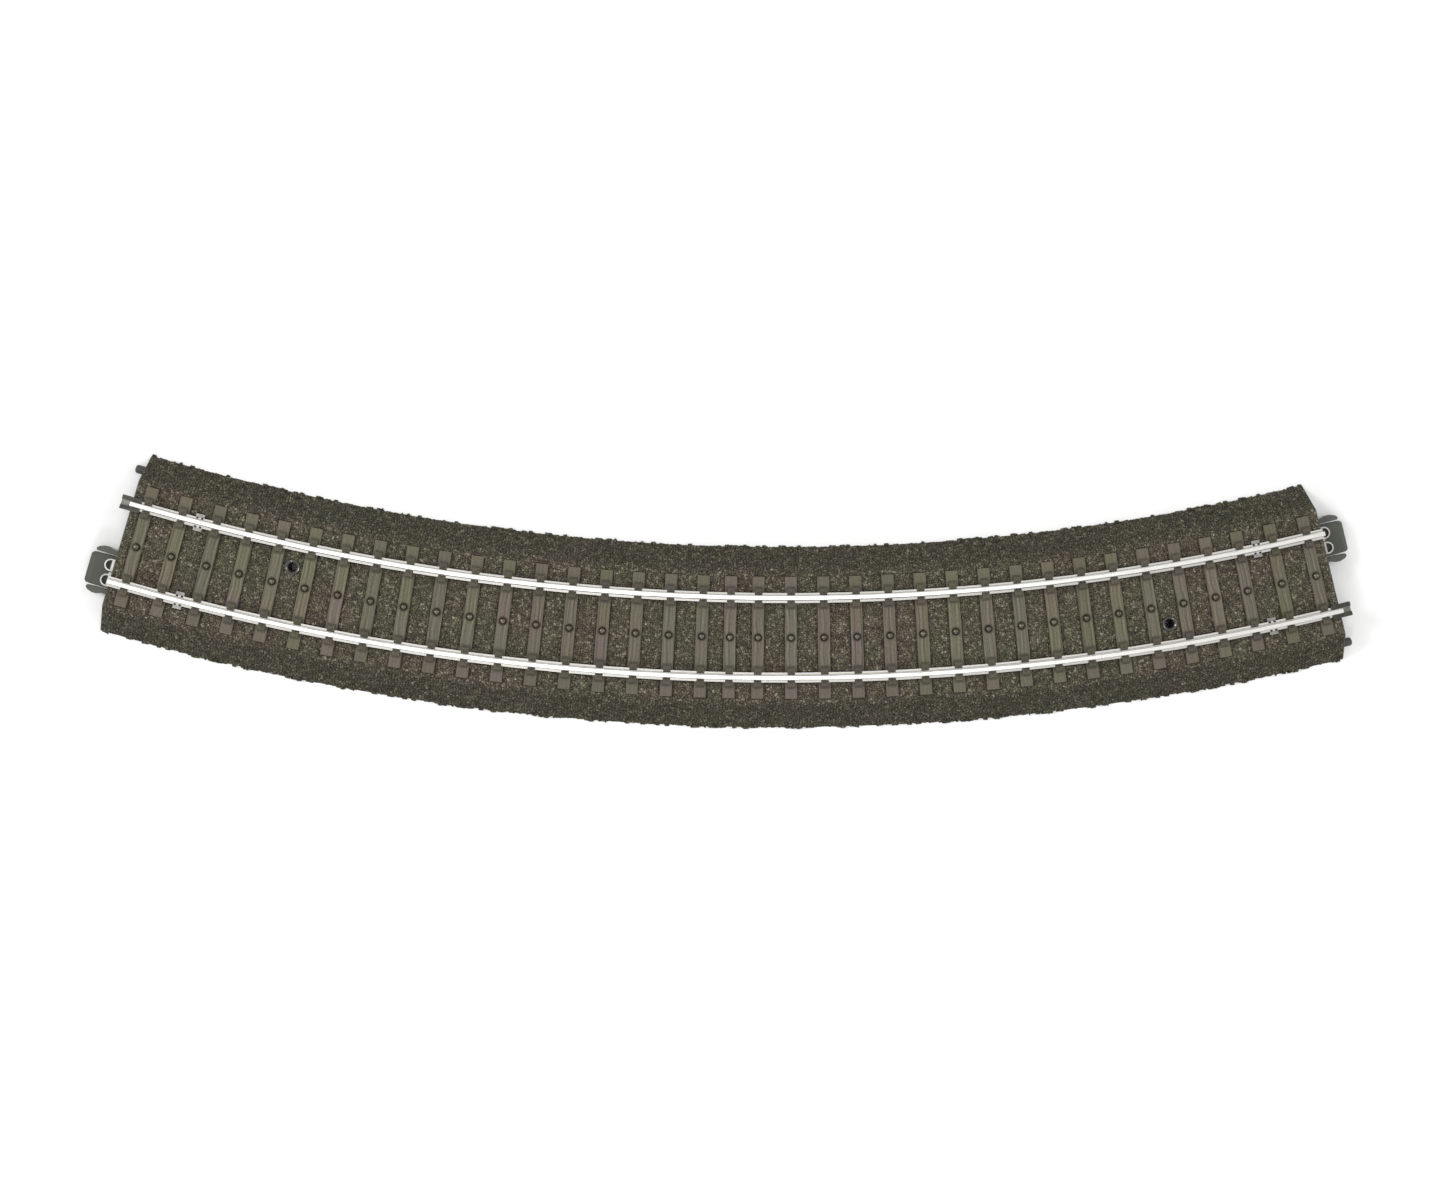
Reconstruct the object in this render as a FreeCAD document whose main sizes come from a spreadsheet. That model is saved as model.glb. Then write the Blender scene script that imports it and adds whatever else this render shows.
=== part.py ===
import FreeCAD, Part
import math
import os

import Sketcher

# A curved section of model railway track, 16.5 mm gauge, with a moulded ballast bed.
# Row frame: the track's centre line crosses the Y axis at the origin, on the face that the section
# stands on. +X runs along the section, +Y points at the centre of the curve and +Z is up.
# Every body is drawn in a frame of its own whose origin is the centre of the curve, so that a turn
# about its Z axis moves a feature along the track.

DRIVING = [
    ("curve_radius", 515.0, "centre line of the track"),
    ("curve_angle", 30.0, "whole turn of the section"),
    ("pitches", 37.0, "sleeper pitches in the whole turn"),
    ("narrow_share", 0.85, "the two pitches at the middle, as a share of the usual one"),
    ("wide_share", 1.075, "the two pitches at each end, as a share of the usual one"),
    ("gauge", 16.5, "between the inner sides of the rail heads"),
    ("base_half", 20.0, "half width of the bed on the ground"),
    ("crown_half", 14.2, "half width of the bed's flat top"),
    ("deck_top", 7.2, "top of the bed between the sleepers"),
    ("deck_under", 5.9, "underside of the deck"),
    ("skirt_wall", 1.7, "sloping side walls, measured level"),
    ("end_wall", 1.8, "end walls"),
    ("rib_wall", 1.0, "cross ribs under the deck"),
    ("rib_pitches", 3.0, "sleeper pitches between ribs"),
    ("sleeper_half", 13.4, "half length of a sleeper"),
    ("sleeper_wide", 2.6, "width of a sleeper"),
    ("sleeper_top", 7.9, "top of a sleeper"),
    ("seat_half", 2.5, "half length of the plate under the rail"),
    ("chair_wide", 1.6, "width of the plate and the clips that hold the rail"),
    ("chair_top", 8.75, "top of the clips"),
    ("rail_seat", 8.0, "underside of the rails"),
    ("rail_high", 2.3, "height of a rail"),
    ("foot_half", 1.1, "half width of a rail's foot"),
    ("foot_thick", 0.35, "thickness of a rail's foot"),
    ("web_half", 0.25, "half width of a rail's web"),
    ("head_half", 0.5, "half width of a rail's head"),
    ("head_high", 0.75, "height of a rail's head"),
    ("rail_gap", 0.05, "play between rails of two sections, half of it at each end"),
    ("fit_gap", 0.04, "play between a rail's foot and what holds it"),
    ("stud_radius", 0.75, "a centre stud"),
    ("stud_hole", 0.85, "the hole in a sleeper for a stud"),
    ("stud_top", 8.75, "top of a stud"),
    ("stud_round", 0.85, "radius of a stud's domed top"),
    ("stud_dome", 0.45, "height of that dome"),
    ("strip_half", 1.4, "half width of the strip that carries the studs"),
    ("sheet", 0.3, "thickness of the strip, bonds and contacts"),
    ("screw_side", 4.0, "from the centre line to a fixing hole"),
    ("screw_hole", 0.95, "radius of a fixing hole"),
    ("screw_sink", 1.25, "radius of a fixing hole's sunk mouth"),
    ("collar_radius", 1.6, "collar round a fixing hole"),
    ("collar_top", 7.6, "top of that collar"),
    ("boss_radius", 2.3, "boss under a fixing hole"),
    ("tongue_side", 7.0, "from the centre line to the middle of a tongue"),
    ("tongue_half", 3.5, "half width of a tongue"),
    ("tongue_long", 6.0, "how far a tongue stands out"),
    ("tongue_under", 1.2, "underside of a tongue"),
    ("tongue_top", 4.2, "top of a tongue"),
    ("nose_slope", 1.1, "how far a tongue's nose slopes"),
    ("arm_gap", 0.4, "between a tongue and its latch arms"),
    ("arm_thick", 1.0, "thickness of a latch arm"),
    ("arm_long", 5.2, "how far a latch arm stands out"),
    ("arm_hook", 0.4, "how far a latch arm's hook bulges"),
    ("arm_under", 1.5, "underside of a latch arm"),
    ("arm_top", 3.9, "top of a latch arm"),
    ("arm_pivot", 0.9, "from the end face to where an arm bends"),
    ("arm_play", 0.05, "play round the root of an arm"),
    ("mouth_play", 0.15, "play beside an arm where it leaves the end face"),
    ("bay_near", 1.2, "near side of the bay that takes a tongue"),
    ("bay_far", 12.8, "far side of that bay"),
    ("bay_deep", 8.0, "depth of that bay"),
    ("bay_lip", 0.8, "how far the bay's mouth is narrower than it, on each side"),
    ("peg_side", 16.4, "from the centre line to a locating peg"),
    ("peg_radius", 0.95, "a locating peg"),
    ("peg_high", 2.1, "height of a peg's middle"),
    ("peg_long", 2.2, "how far a peg stands out"),
    ("notch_play", 0.15, "play round a peg in its notch"),
    ("joiner_long", 4.4, "length of a rail joiner"),
    ("joiner_out", 2.2, "how far a joiner stands out"),
    ("joiner_sheet", 0.3, "thickness of a joiner"),
    ("joiner_play", 0.15, "play beside a rail's foot in a joiner"),
    ("bond_wide", 1.9, "width of a bond, along the track"),
    ("bond_under", 4.2, "underside of a bond's band"),
    ("saddle_half", 1.9, "half length of a bond's saddle, across the rail"),
    ("lug_apart", 0.55, "from a bond's middle to a lug's middle, along the track"),
    ("lug_wide", 0.36, "width of a lug, along the track"),
    ("lug_top", 8.5, "top of a lug"),
    ("notch_wide", 0.56, "width of the cut in the rail's foot for a lug"),
    ("notch_deep", 0.36, "depth of that cut"),
    ("loop_rail_side", 8.75, "from the centre line to the rail's contact loop"),
    ("loop_stud_side", 5.35, "from the centre line to the studs' contact loop"),
    ("loop_radius", 1.35, "outer radius of a contact loop"),
    ("loop_out", 2.3, "how far a contact loop stands out"),
    ("loop_top", 5.75, "top of a contact loop"),
    ("web_under", 5.05, "underside of the web between a loop's legs"),
    ("spade_wide", 2.8, "width of a wiring tab"),
    ("spade_long", 6.3, "length of a wiring tab"),
]

LEFT, RIGHT = -1, 1
ENDS = {"left": LEFT, "right": RIGHT}


class Size:
    """A number and the expression over the sheet's cells that gives it."""

    def __init__(self, value, text):
        self.value = value
        self.text = text

    def __add__(self, other):
        return join(self, "+", other)

    def __radd__(self, other):
        return join(other, "+", self)

    def __sub__(self, other):
        return join(self, "-", other)

    def __rsub__(self, other):
        return join(other, "-", self)

    def __mul__(self, other):
        return join(self, "*", other)

    def __rmul__(self, other):
        return join(other, "*", self)

    def __truediv__(self, other):
        return join(self, "/", other)

    def __neg__(self):
        return join(-1, "*", self)


def sized(number):
    return number if isinstance(number, Size) else Size(float(number), repr(float(number)))


def join(a, sign, b):
    a, b = sized(a), sized(b)
    results = {"+": a.value + b.value, "-": a.value - b.value, "*": a.value * b.value}
    value = a.value / b.value if sign == "/" else results[sign]
    return Size(value, f"({a.text} {sign} {b.text})")


class Sheet:
    """The document's sheet of driving dimensions: sheet.name gives the Size of that cell."""

    def __init__(self, doc):
        cells = doc.addObject("Spreadsheet::Sheet", "Dimensions")
        for row, (alias, value, meaning) in enumerate(DRIVING, start=1):
            cells.set(f"A{row}", meaning)
            cells.set(f"B{row}", str(value))
            cells.setAlias(f"B{row}", alias)
            setattr(self, alias, Size(value, f"Dimensions.{alias}"))


doc = FreeCAD.newDocument("track_section")
size = Sheet(doc)
doc.recompute()

# Angles along the track, in degrees.
pitch = size.curve_angle / size.pitches
narrow = pitch * size.narrow_share
wide = pitch * size.wide_share
end_angle = size.curve_angle / 2
EVEN_GAPS = 15
last_even_angle = narrow + pitch * EVEN_GAPS
bond_angle = last_even_angle + wide / 2
screw_angle = narrow + pitch * (EVEN_GAPS - 2.5)
degree_length = size.curve_radius * (math.pi / 180)
# From the centre line to the middle of either rail.
rail_side = size.gauge / 2 + size.head_half
bond_back = (end_angle - bond_angle) * degree_length
strip_under = size.deck_under - size.sheet
skirt_run = (size.base_half - size.crown_half) / size.deck_top


# ---------------------------------------------------------------- building blocks


def new_body(name):
    """A body whose own origin is the centre of the curve."""
    body = doc.addObject("PartDesign::Body", name)
    body.Label = name
    body.Placement.Base = FreeCAD.Vector(0, size.curve_radius.value, 0)
    body.setExpression("Placement.Base.y", size.curve_radius.text)
    return body


def origin_feature(body, role):
    return next(feature for feature in body.Origin.OriginFeatures if feature.Role == role)


def new_sketch(body, plane, angle, lift):
    """A sketch on an origin plane, turned along the track by angle and raised by lift."""
    sketch = body.newObject("Sketcher::SketchObject", "Sketch")
    sketch.AttachmentSupport = [(origin_feature(body, plane), "")]
    sketch.MapMode = "FlatFace"
    # The vertical is the sketch's Z in plan, and its Y on an upright plane.
    vertical = FreeCAD.Vector(0, 0, 1) if plane == "XY_Plane" else FreeCAD.Vector(0, 1, 0)
    angle, lift = sized(angle), sized(lift)
    sketch.AttachmentOffset = FreeCAD.Placement(
        FreeCAD.Vector(0, 0, lift.value), FreeCAD.Rotation(vertical, angle.value)
    )
    if angle.value:
        sketch.setExpression("AttachmentOffset.Rotation.Angle", angle.text)
    if lift.value:
        sketch.setExpression("AttachmentOffset.Base.z", lift.text)
    return sketch


def pin_point(sketch, line, end, point):
    """Ties one end of a line to its place, given as two sizes."""
    for kind, across, place in (("DistanceX", -2, point[0]), ("DistanceY", -1, point[1])):
        place = sized(place)
        if place.value == 0:
            sketch.addConstraint(Sketcher.Constraint("PointOnObject", line, end, across))
        else:
            index = sketch.addConstraint(Sketcher.Constraint(kind, -1, 1, line, end, place.value))
            sketch.setExpression(f"Constraints[{index}]", place.text)


class Bend:
    """Stands in an outline between two corners that an arc about centre joins."""

    def __init__(self, centre, clockwise):
        self.centre = centre
        self.clockwise = clockwise


def vector(point):
    return FreeCAD.Vector(sized(point[0]).value, sized(point[1]).value, 0)


def draw_outline(sketch, items):
    """A closed outline, given as its corners in order. Sides are straight unless a Bend comes
    between two corners."""
    for index, item in enumerate(items):
        following = items[(index + 1) % len(items)]
        if isinstance(item, Bend):
            draw_bend(sketch, items[index - 1], following, item)
        elif not isinstance(following, Bend):
            segment = Part.LineSegment(vector(item), vector(following))
            line = sketch.addGeometry(segment, False)
            pin_point(sketch, line, 1, item)
            pin_point(sketch, line, 2, following)


def draw_bend(sketch, start, stop, bend):
    """A sketch's arcs run anticlockwise, so a clockwise one is drawn from its other end."""
    if bend.clockwise:
        start, stop = stop, start
    spokes = [vector(start) - vector(bend.centre), vector(stop) - vector(bend.centre)]
    angles = [math.atan2(spoke.y, spoke.x) for spoke in spokes]
    circle = Part.Circle(vector(bend.centre), FreeCAD.Vector(0, 0, 1), spokes[0].Length)
    line = sketch.addGeometry(Part.ArcOfCircle(circle, *angles), False)
    pin_point(sketch, line, 1, start)
    pin_point(sketch, line, 2, stop)
    # The ends fix all of the arc but one distance: how far its centre is along the sketch.
    place = sized(bend.centre[0])
    if place.value:
        index = sketch.addConstraint(Sketcher.Constraint("DistanceX", -1, 1, line, 3, place.value))
        sketch.setExpression(f"Constraints[{index}]", place.text)
    else:
        sketch.addConstraint(Sketcher.Constraint("PointOnObject", line, 3, -2))


def draw_circle(sketch, centre, radius):
    place = FreeCAD.Vector(sized(centre[0]).value, sized(centre[1]).value, 0)
    circle = Part.Circle(place, FreeCAD.Vector(0, 0, 1), radius.value)
    line = sketch.addGeometry(circle, False)
    index = sketch.addConstraint(Sketcher.Constraint("Radius", line, radius.value))
    sketch.setExpression(f"Constraints[{index}]", radius.text)
    pin_point(sketch, line, 3, centre)


def box(low_x, high_x, low_y, high_y):
    return [(low_x, low_y), (high_x, low_y), (high_x, high_y), (low_x, high_y)]


def finish_prism(feature, sketch, length):
    feature.Profile = sketch
    feature.Length = length.value
    feature.setExpression("Length", length.text)
    sketch.Visibility = False
    return feature


def section_prism(body, kind, outlines, angle, thickness):
    """A prism whose outlines are sections across the track: (-distance from the curve's centre,
    height). It is centred on angle, and thickness runs along the track."""
    sketch = new_sketch(body, "YZ_Plane", angle, 0)
    for outline in outlines:
        draw_outline(sketch, outline)
    feature = finish_prism(body.newObject(kind, "Prism"), sketch, sized(thickness))
    feature.Midplane = True
    return feature


def plan_prism(body, kind, outlines, angle, low, high):
    """A prism whose outlines are drawn in plan, from height low up to height high. A pocket is
    drawn at its top and cuts down, and a pad is drawn at its foot."""
    low, high = sized(low), sized(high)
    cuts = kind.endswith("Pocket")
    sketch = new_sketch(body, "XY_Plane", angle, high if cuts else low)
    for outline in outlines:
        if isinstance(outline, dict):
            draw_circle(sketch, outline["centre"], outline["radius"])
        else:
            draw_outline(sketch, outline)
    return finish_prism(body.newObject(kind, "Prism"), sketch, high - low)


def sweep_section(body, kind, outlines, angle):
    """Turns sections about the curve's centre, over angle, half to each side of the middle."""
    sketch = new_sketch(body, "YZ_Plane", 0, 0)
    for outline in outlines:
        draw_outline(sketch, outline)
    feature = body.newObject(kind, "Sweep")
    feature.Profile = sketch
    feature.ReferenceAxis = (sketch, ["V_Axis"])
    feature.Midplane = True
    feature.Angle = angle.value
    feature.setExpression("Angle", angle.text)
    sketch.Visibility = False
    return feature


def repeat_both_ways(body, originals, gaps):
    """Copies features along the track, with the same gaps to the left and to the right."""
    for backwards in (False, True):
        pattern = body.newObject("PartDesign::PolarPattern", "Pattern")
        pattern.Originals = originals
        pattern.Axis = (origin_feature(body, "Z_Axis"), [""])
        pattern.Mode = "Spacing"
        pattern.Reversed = backwards
        pattern.Occurrences = len(gaps) + 1
        pattern.Offset = gaps[0].value
        pattern.setExpression("Offset", gaps[0].text)
        pattern.Spacings = [gap.value for gap in gaps]
        body.Tip = pattern
        doc.recompute()


def across(side):
    """The section coordinate of a point that is side further out than the centre line."""
    return -(size.curve_radius + side)


def end_point(end, out, side):
    """A plan point at one end: out beyond the end face, and side towards the end's own tongue.
    The two ends are alike after half a turn, so the tongue is outside the curve on the left
    and inside it on the right."""
    return (out * end, side * end - size.curve_radius)


def end_outline(end, points):
    return [end_point(end, out, side) for out, side in points]


def end_box(end, low_out, high_out, low_side, high_side):
    return end_outline(end, box(low_out, high_out, low_side, high_side))


# ---------------------------------------------------------------- the moulded bed

SLEEPER_GAPS = [narrow] + [pitch] * EVEN_GAPS + [wide] * 2
PAD, POCKET = "PartDesign::Pad", "PartDesign::Pocket"
BELOW = size.deck_top - 0.5


def half_width(height, inset):
    """Half width of the bed's outside at a height, less an inset."""
    return size.base_half - inset - skirt_run * height


def bed_shell(body):
    outside = [
        (across(-size.base_half), 0),
        (across(-size.crown_half), size.deck_top),
        (across(size.crown_half), size.deck_top),
        (across(size.base_half), 0),
    ]
    sweep_section(body, "PartDesign::Revolution", [outside], size.curve_angle)
    foot = size.base_half - size.skirt_wall
    under = half_width(size.deck_under, size.skirt_wall)
    inside = [
        (across(-foot), 0),
        (across(-under), size.deck_under),
        (across(under), size.deck_under),
        (across(foot), 0),
    ]
    walls = size.end_wall / degree_length
    sweep_section(body, "PartDesign::Groove", [inside], size.curve_angle - walls * 2)


def cross_ribs(body):
    """Ribs under the deck, each with a notch that clears the stud strip."""
    inset = size.skirt_wall / 2
    notch = size.strip_half + 0.5
    notch_under = strip_under - 0.4
    top = size.deck_under + 0.3
    rib = [
        (across(-half_width(0, inset)), 0),
        (across(-half_width(top, inset)), top),
        (across(-notch), top),
        (across(-notch), notch_under),
        (across(notch), notch_under),
        (across(notch), top),
        (across(half_width(top, inset)), top),
        (across(half_width(0, inset)), 0),
    ]
    feature = section_prism(body, PAD, [rib], 0, size.rib_wall)
    repeat_both_ways(body, [feature], [pitch * size.rib_pitches] * 5)


def sleepers(body):
    """Sleepers with their rail seats and clips, and a hole for each stud."""
    sleeper = box(across(size.sleeper_half), across(-size.sleeper_half), BELOW, size.sleeper_top)
    timber = section_prism(body, PAD, [sleeper], 0, size.sleeper_wide)
    seats = []
    for rail in (-rail_side, rail_side):
        held = size.foot_half + size.fit_gap
        lip_under = size.rail_seat + size.foot_thick + size.fit_gap
        lip = size.foot_half - 0.35
        back = size.foot_half + 0.85
        seats.append(
            [
                (across(rail + size.seat_half), size.sleeper_top - 0.3),
                (across(rail - size.seat_half), size.sleeper_top - 0.3),
                (across(rail - size.seat_half), size.rail_seat),
                (across(rail - back), size.rail_seat),
                (across(rail - back), size.chair_top),
                (across(rail - lip), size.chair_top),
                (across(rail - lip), lip_under),
                (across(rail - held), lip_under),
                (across(rail - held), size.rail_seat),
                (across(rail + held), size.rail_seat),
                (across(rail + held), lip_under),
                (across(rail + lip), lip_under),
                (across(rail + lip), size.chair_top),
                (across(rail + back), size.chair_top),
                (across(rail + back), size.rail_seat),
                (across(rail + size.seat_half), size.rail_seat),
            ]
        )
    chairs = section_prism(body, PAD, seats, 0, size.chair_wide)
    hole = {"centre": (0, across(0)), "radius": size.stud_hole}
    stud_hole = plan_prism(body, POCKET, [hole], 0, size.deck_under - 1, size.sleeper_top + 1)
    repeat_both_ways(body, [timber, chairs, stud_hole], SLEEPER_GAPS)


def fixing_hole(body, end):
    """A collared, sunk screw hole with a boss below it that reaches down to the ground."""
    angle = screw_angle * end
    centre = (0, -size.screw_side * end - size.curve_radius)
    boss = {"centre": centre, "radius": size.boss_radius}
    plan_prism(body, PAD, [boss], angle, 0, size.deck_under + 0.3)
    collar = {"centre": centre, "radius": size.collar_radius}
    plan_prism(body, PAD, [collar], angle, BELOW, size.collar_top)
    doc.recompute()
    sketch = new_sketch(body, "XY_Plane", angle, size.collar_top)
    draw_circle(sketch, centre, size.screw_hole)
    doc.recompute()
    hole = body.newObject("PartDesign::Hole", "ScrewHole")
    hole.Profile = sketch
    hole.DepthType = "ThroughAll"
    for name, value in (("Diameter", size.screw_hole * 2), ("HoleCutDiameter", size.screw_sink * 2)):
        if name == "HoleCutDiameter":
            hole.HoleCutType = "Countersink"
            hole.HoleCutCustomValues = True
            hole.HoleCutCountersinkAngle = 90
        setattr(hole, name, value.value)
        hole.setExpression(name, value.text)
    sketch.Visibility = False


def bond_slots(body, end):
    """The slots that a bond's saddles come up through, one under each rail."""
    long_half = size.bond_wide / 2 + 0.2
    wide_half = size.saddle_half + 0.2
    slots = []
    for rail in (-rail_side, rail_side):
        side = across(rail)
        slots.append(box(-long_half, long_half, side - wide_half, side + wide_half))
    cut = size.deck_under - 0.5, size.sleeper_top
    plan_prism(body, POCKET, slots, bond_angle * end, *cut)


def tongue(body, end):
    """The plug that enters the next section, with cut corners and its root in the end wall."""
    near = size.tongue_side - size.tongue_half
    far = size.tongue_side + size.tongue_half
    corner = 0.5
    outline = end_outline(
        end,
        [
            (-size.end_wall, near),
            (size.tongue_long - corner, near),
            (size.tongue_long, near + corner),
            (size.tongue_long, far - corner),
            (size.tongue_long - corner, far),
            (-size.end_wall, far),
        ],
    )
    block = plan_prism(body, PAD, [outline], end_angle * end, size.tongue_under, size.tongue_top)
    doc.recompute()
    turn = FreeCAD.Rotation(FreeCAD.Vector(0, 0, 1), -end_angle.value * end)

    def on_nose(edge):
        """Whether an edge bounds the tongue's top at its nose or at a cut corner."""
        spots = [turn.multVec(vertex.Point) for vertex in edge.Vertexes]
        reach = (size.tongue_long - corner).value - 1e-4
        top = size.tongue_top.value
        return all(spot.x * end > reach and abs(spot.z - top) < 1e-4 for spot in spots)

    edges = [f"Edge{i}" for i, edge in enumerate(block.Shape.Edges, start=1) if on_nose(edge)]
    slope = body.newObject("PartDesign::Chamfer", "NoseSlope")
    slope.Base = (block, edges)
    slope.Size = size.nose_slope.value
    slope.setExpression("Size", size.nose_slope.text)


def arm_middle(side):
    """From the centre line to the middle of a latch arm. side is -1 or 1: which arm."""
    return size.tongue_side + (size.tongue_half + size.arm_gap + size.arm_thick / 2) * side


def latch_seats(body, end):
    """The rounded pockets in the end wall that the two latch arms grow from."""
    half = size.arm_thick / 2
    for side in (-1, 1):
        middle = arm_middle(side)
        seat = {"centre": end_point(end, -size.arm_pivot, middle), "radius": half + size.arm_play}
        heights = size.arm_under - size.arm_play, size.arm_top + size.arm_play
        plan_prism(body, POCKET, [seat], end_angle * end, *heights)
        mouth = half + size.mouth_play
        slot = end_box(end, -size.arm_pivot, 0.2, middle - mouth, middle + mouth)
        plan_prism(body, POCKET, [slot], end_angle * end, *heights)


def contact_windows(body, end):
    """The windows in the end wall that the two contact loops come through."""
    play = size.loop_radius + 0.15
    windows = []
    for side in (size.loop_rail_side, size.loop_stud_side):
        windows.append(end_box(end, -size.end_wall - 0.2, 0.2, side - play, side + play))
    plan_prism(body, POCKET, windows, end_angle * end, size.tongue_top, size.deck_under)


def plug_bay(body, end):
    """The bay that takes the next section's tongue: side walls, a back wall, and a mouth that is
    narrower than the bay, so that the latch arms' hooks click in behind the end wall."""
    wall = size.rib_wall
    near, far = -size.bay_near, -size.bay_far
    deep = -size.bay_deep
    walls = [
        (deep - wall, far - wall),
        (-0.5, far - wall),
        (-0.5, far),
        (deep, far),
        (deep, near),
        (-0.5, near),
        (-0.5, near + wall),
        (deep - wall, near + wall),
    ]
    plan_prism(body, PAD, [end_outline(end, walls)], end_angle * end, 0, size.deck_under + 0.3)
    back = -size.end_wall - 0.2
    mouth = end_box(end, back, 0.2, far + size.bay_lip, near - size.bay_lip)
    plan_prism(body, POCKET, [mouth], end_angle * end, -0.2, size.deck_under)
    # The strip runs on above the walls of the bay, through a shallow channel.
    clear = size.strip_half + 0.5
    channel = end_box(end, deep - wall - 0.2, -size.end_wall, -clear, clear)
    plan_prism(body, POCKET, [channel], end_angle * end, strip_under - 0.4, size.deck_under)


def locating_peg(body, end):
    sketch = new_sketch(body, "YZ_Plane", end_angle * end, 0)
    draw_circle(sketch, (size.peg_side * -end - size.curve_radius, size.peg_high), size.peg_radius)
    peg = finish_prism(body.newObject(PAD, "Peg"), sketch, size.peg_long)
    peg.Reversed = end == LEFT
    body.Tip = peg
    doc.recompute()
    # The peg's free rim is the circle that lies furthest along the track.
    def along(edge):
        middle = edge.CenterOfMass
        return middle.x * end

    rims = [i for i, e in enumerate(peg.Shape.Edges, start=1) if is_circle(e, size.peg_radius)]
    rim = max(rims, key=lambda index: along(peg.Shape.Edges[index - 1]))
    fillet = body.newObject("PartDesign::Fillet", "PegRound")
    fillet.Base = (peg, [f"Edge{rim}"])
    fillet.Radius = size.peg_radius.value * 0.6
    fillet.setExpression("Radius", (size.peg_radius * 0.6).text)


def is_circle(edge, radius):
    curve = edge.Curve
    return isinstance(curve, Part.Circle) and abs(curve.Radius - radius.value) < 1e-6


def peg_notch(body, end):
    """The notch, open below, that takes the next section's peg."""
    half = size.peg_radius + size.notch_play
    side = size.peg_side * end - size.curve_radius
    outline = [
        (side - half, -0.2),
        (side + half, -0.2),
        (side + half, size.peg_high + half / 2),
        (side + half / 2, size.peg_high + half),
        (side - half / 2, size.peg_high + half),
        (side - half, size.peg_high + half / 2),
    ]
    sketch = new_sketch(body, "YZ_Plane", end_angle * end, 0)
    draw_outline(sketch, outline)
    notch = finish_prism(body.newObject(POCKET, "PegNotch"), sketch, size.peg_long + 0.6)
    notch.Reversed = end == LEFT


def roadbed():
    body = new_body("roadbed")
    bed_shell(body)
    cross_ribs(body)
    for end in ENDS.values():
        fixing_hole(body, end)
        bond_slots(body, end)
        plug_bay(body, end)
        tongue(body, end)
        latch_seats(body, end)
        contact_windows(body, end)
        locating_peg(body, end)
        peg_notch(body, end)
    sleepers(body)


# ---------------------------------------------------------------- rails and what holds them


def rail(name, side):
    """A rail of the usual foot, web and head, with cuts in its foot for the bonds' lugs."""
    body = new_body(name)
    foot_top = size.rail_seat + size.foot_thick
    top = size.rail_seat + size.rail_high
    head_under = top - size.head_high
    crown = size.head_half - 0.15
    right_half = [
        (across(side + size.foot_half), size.rail_seat),
        (across(side + size.foot_half), foot_top - 0.1),
        (across(side + size.web_half), foot_top + 0.1),
        (across(side + size.web_half), head_under - 0.15),
        (across(side + size.head_half), head_under),
        (across(side + size.head_half), top - 0.15),
        (across(side + crown), top),
    ]
    left_half = [(2 * across(side) - x, y) for x, y in reversed(right_half)]
    ends = size.rail_gap / degree_length
    outline = right_half + left_half
    sweep_section(body, "PartDesign::Revolution", [outline], size.curve_angle - ends)
    for end in ENDS.values():
        cuts = []
        for along in (-size.lug_apart, size.lug_apart):
            for way in (-1, 1):
                edge = across(side) + (size.foot_half + 0.2) * way
                inner = across(side) + (size.foot_half - size.notch_deep) * way
                half = size.notch_wide / 2
                cuts.append(box(along - half, along + half, inner, edge))
        plan_prism(body, POCKET, cuts, bond_angle * end, size.rail_seat - 0.2, foot_top + 0.2)


def rail_joiner(name, end, side):
    """A folded sheet channel that grips the foot of one rail and takes the next one's."""
    body = new_body(name)
    inner = size.foot_half + size.joiner_play
    outer = inner + size.joiner_sheet
    floor = size.rail_seat
    lip_under = size.rail_seat + size.foot_thick + size.fit_gap
    lip = size.web_half + 0.35
    channel = [
        (outer, floor - size.joiner_sheet),
        (outer, lip_under + size.joiner_sheet),
        (lip, lip_under + size.joiner_sheet),
        (lip, lip_under),
        (inner, lip_under),
        (inner, floor),
    ]
    whole = [(across(side + x), y) for x, y in channel]
    whole += [(across(side - x), y) for x, y in reversed(channel)]
    sketch = new_sketch(body, "YZ_Plane", end_angle * end, 0)
    draw_outline(sketch, whole)
    pad = body.newObject(PAD, "Channel")
    pad.Profile = sketch
    pad.SideType = "Two sides"
    inside = size.joiner_long - size.joiner_out
    for field, value in (("Length", size.joiner_out), ("Length2", inside)):
        setattr(pad, field, value.value)
        pad.setExpression(field, value.text)
    pad.Reversed = end == LEFT


# ---------------------------------------------------------------- the electrical parts


def stud_strip():
    """One stamped strip under the deck, with a domed stud standing up through each sleeper."""
    body = new_body("stud_strip")
    band = box(across(size.strip_half), across(-size.strip_half), strip_under, size.deck_under)
    short = (size.end_wall + 0.3) / degree_length
    sweep_section(body, "PartDesign::Revolution", [band], size.curve_angle - short * 2)
    dome = (across(0), size.stud_top - size.stud_round)
    edge = (across(-size.stud_radius), size.stud_top - size.stud_dome)
    half = [
        (across(0), strip_under + 0.1),
        (across(-size.stud_radius), strip_under + 0.1),
        edge,
        Bend(dome, False),
        (across(0), size.stud_top),
    ]
    sketch = new_sketch(body, "YZ_Plane", 0, 0)
    draw_outline(sketch, half)
    ends = (across(0), 0), (across(0), 1)
    axis = sketch.addGeometry(Part.LineSegment(vector(ends[0]), vector(ends[1])), True)
    pin_point(sketch, axis, 1, ends[0])
    pin_point(sketch, axis, 2, ends[1])
    stud = body.newObject("PartDesign::Revolution", "Stud")
    stud.Profile = sketch
    stud.ReferenceAxis = (sketch, ["Axis0"])
    stud.Angle = 360
    sketch.Visibility = False
    repeat_both_ways(body, [stud], SLEEPER_GAPS)


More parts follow.
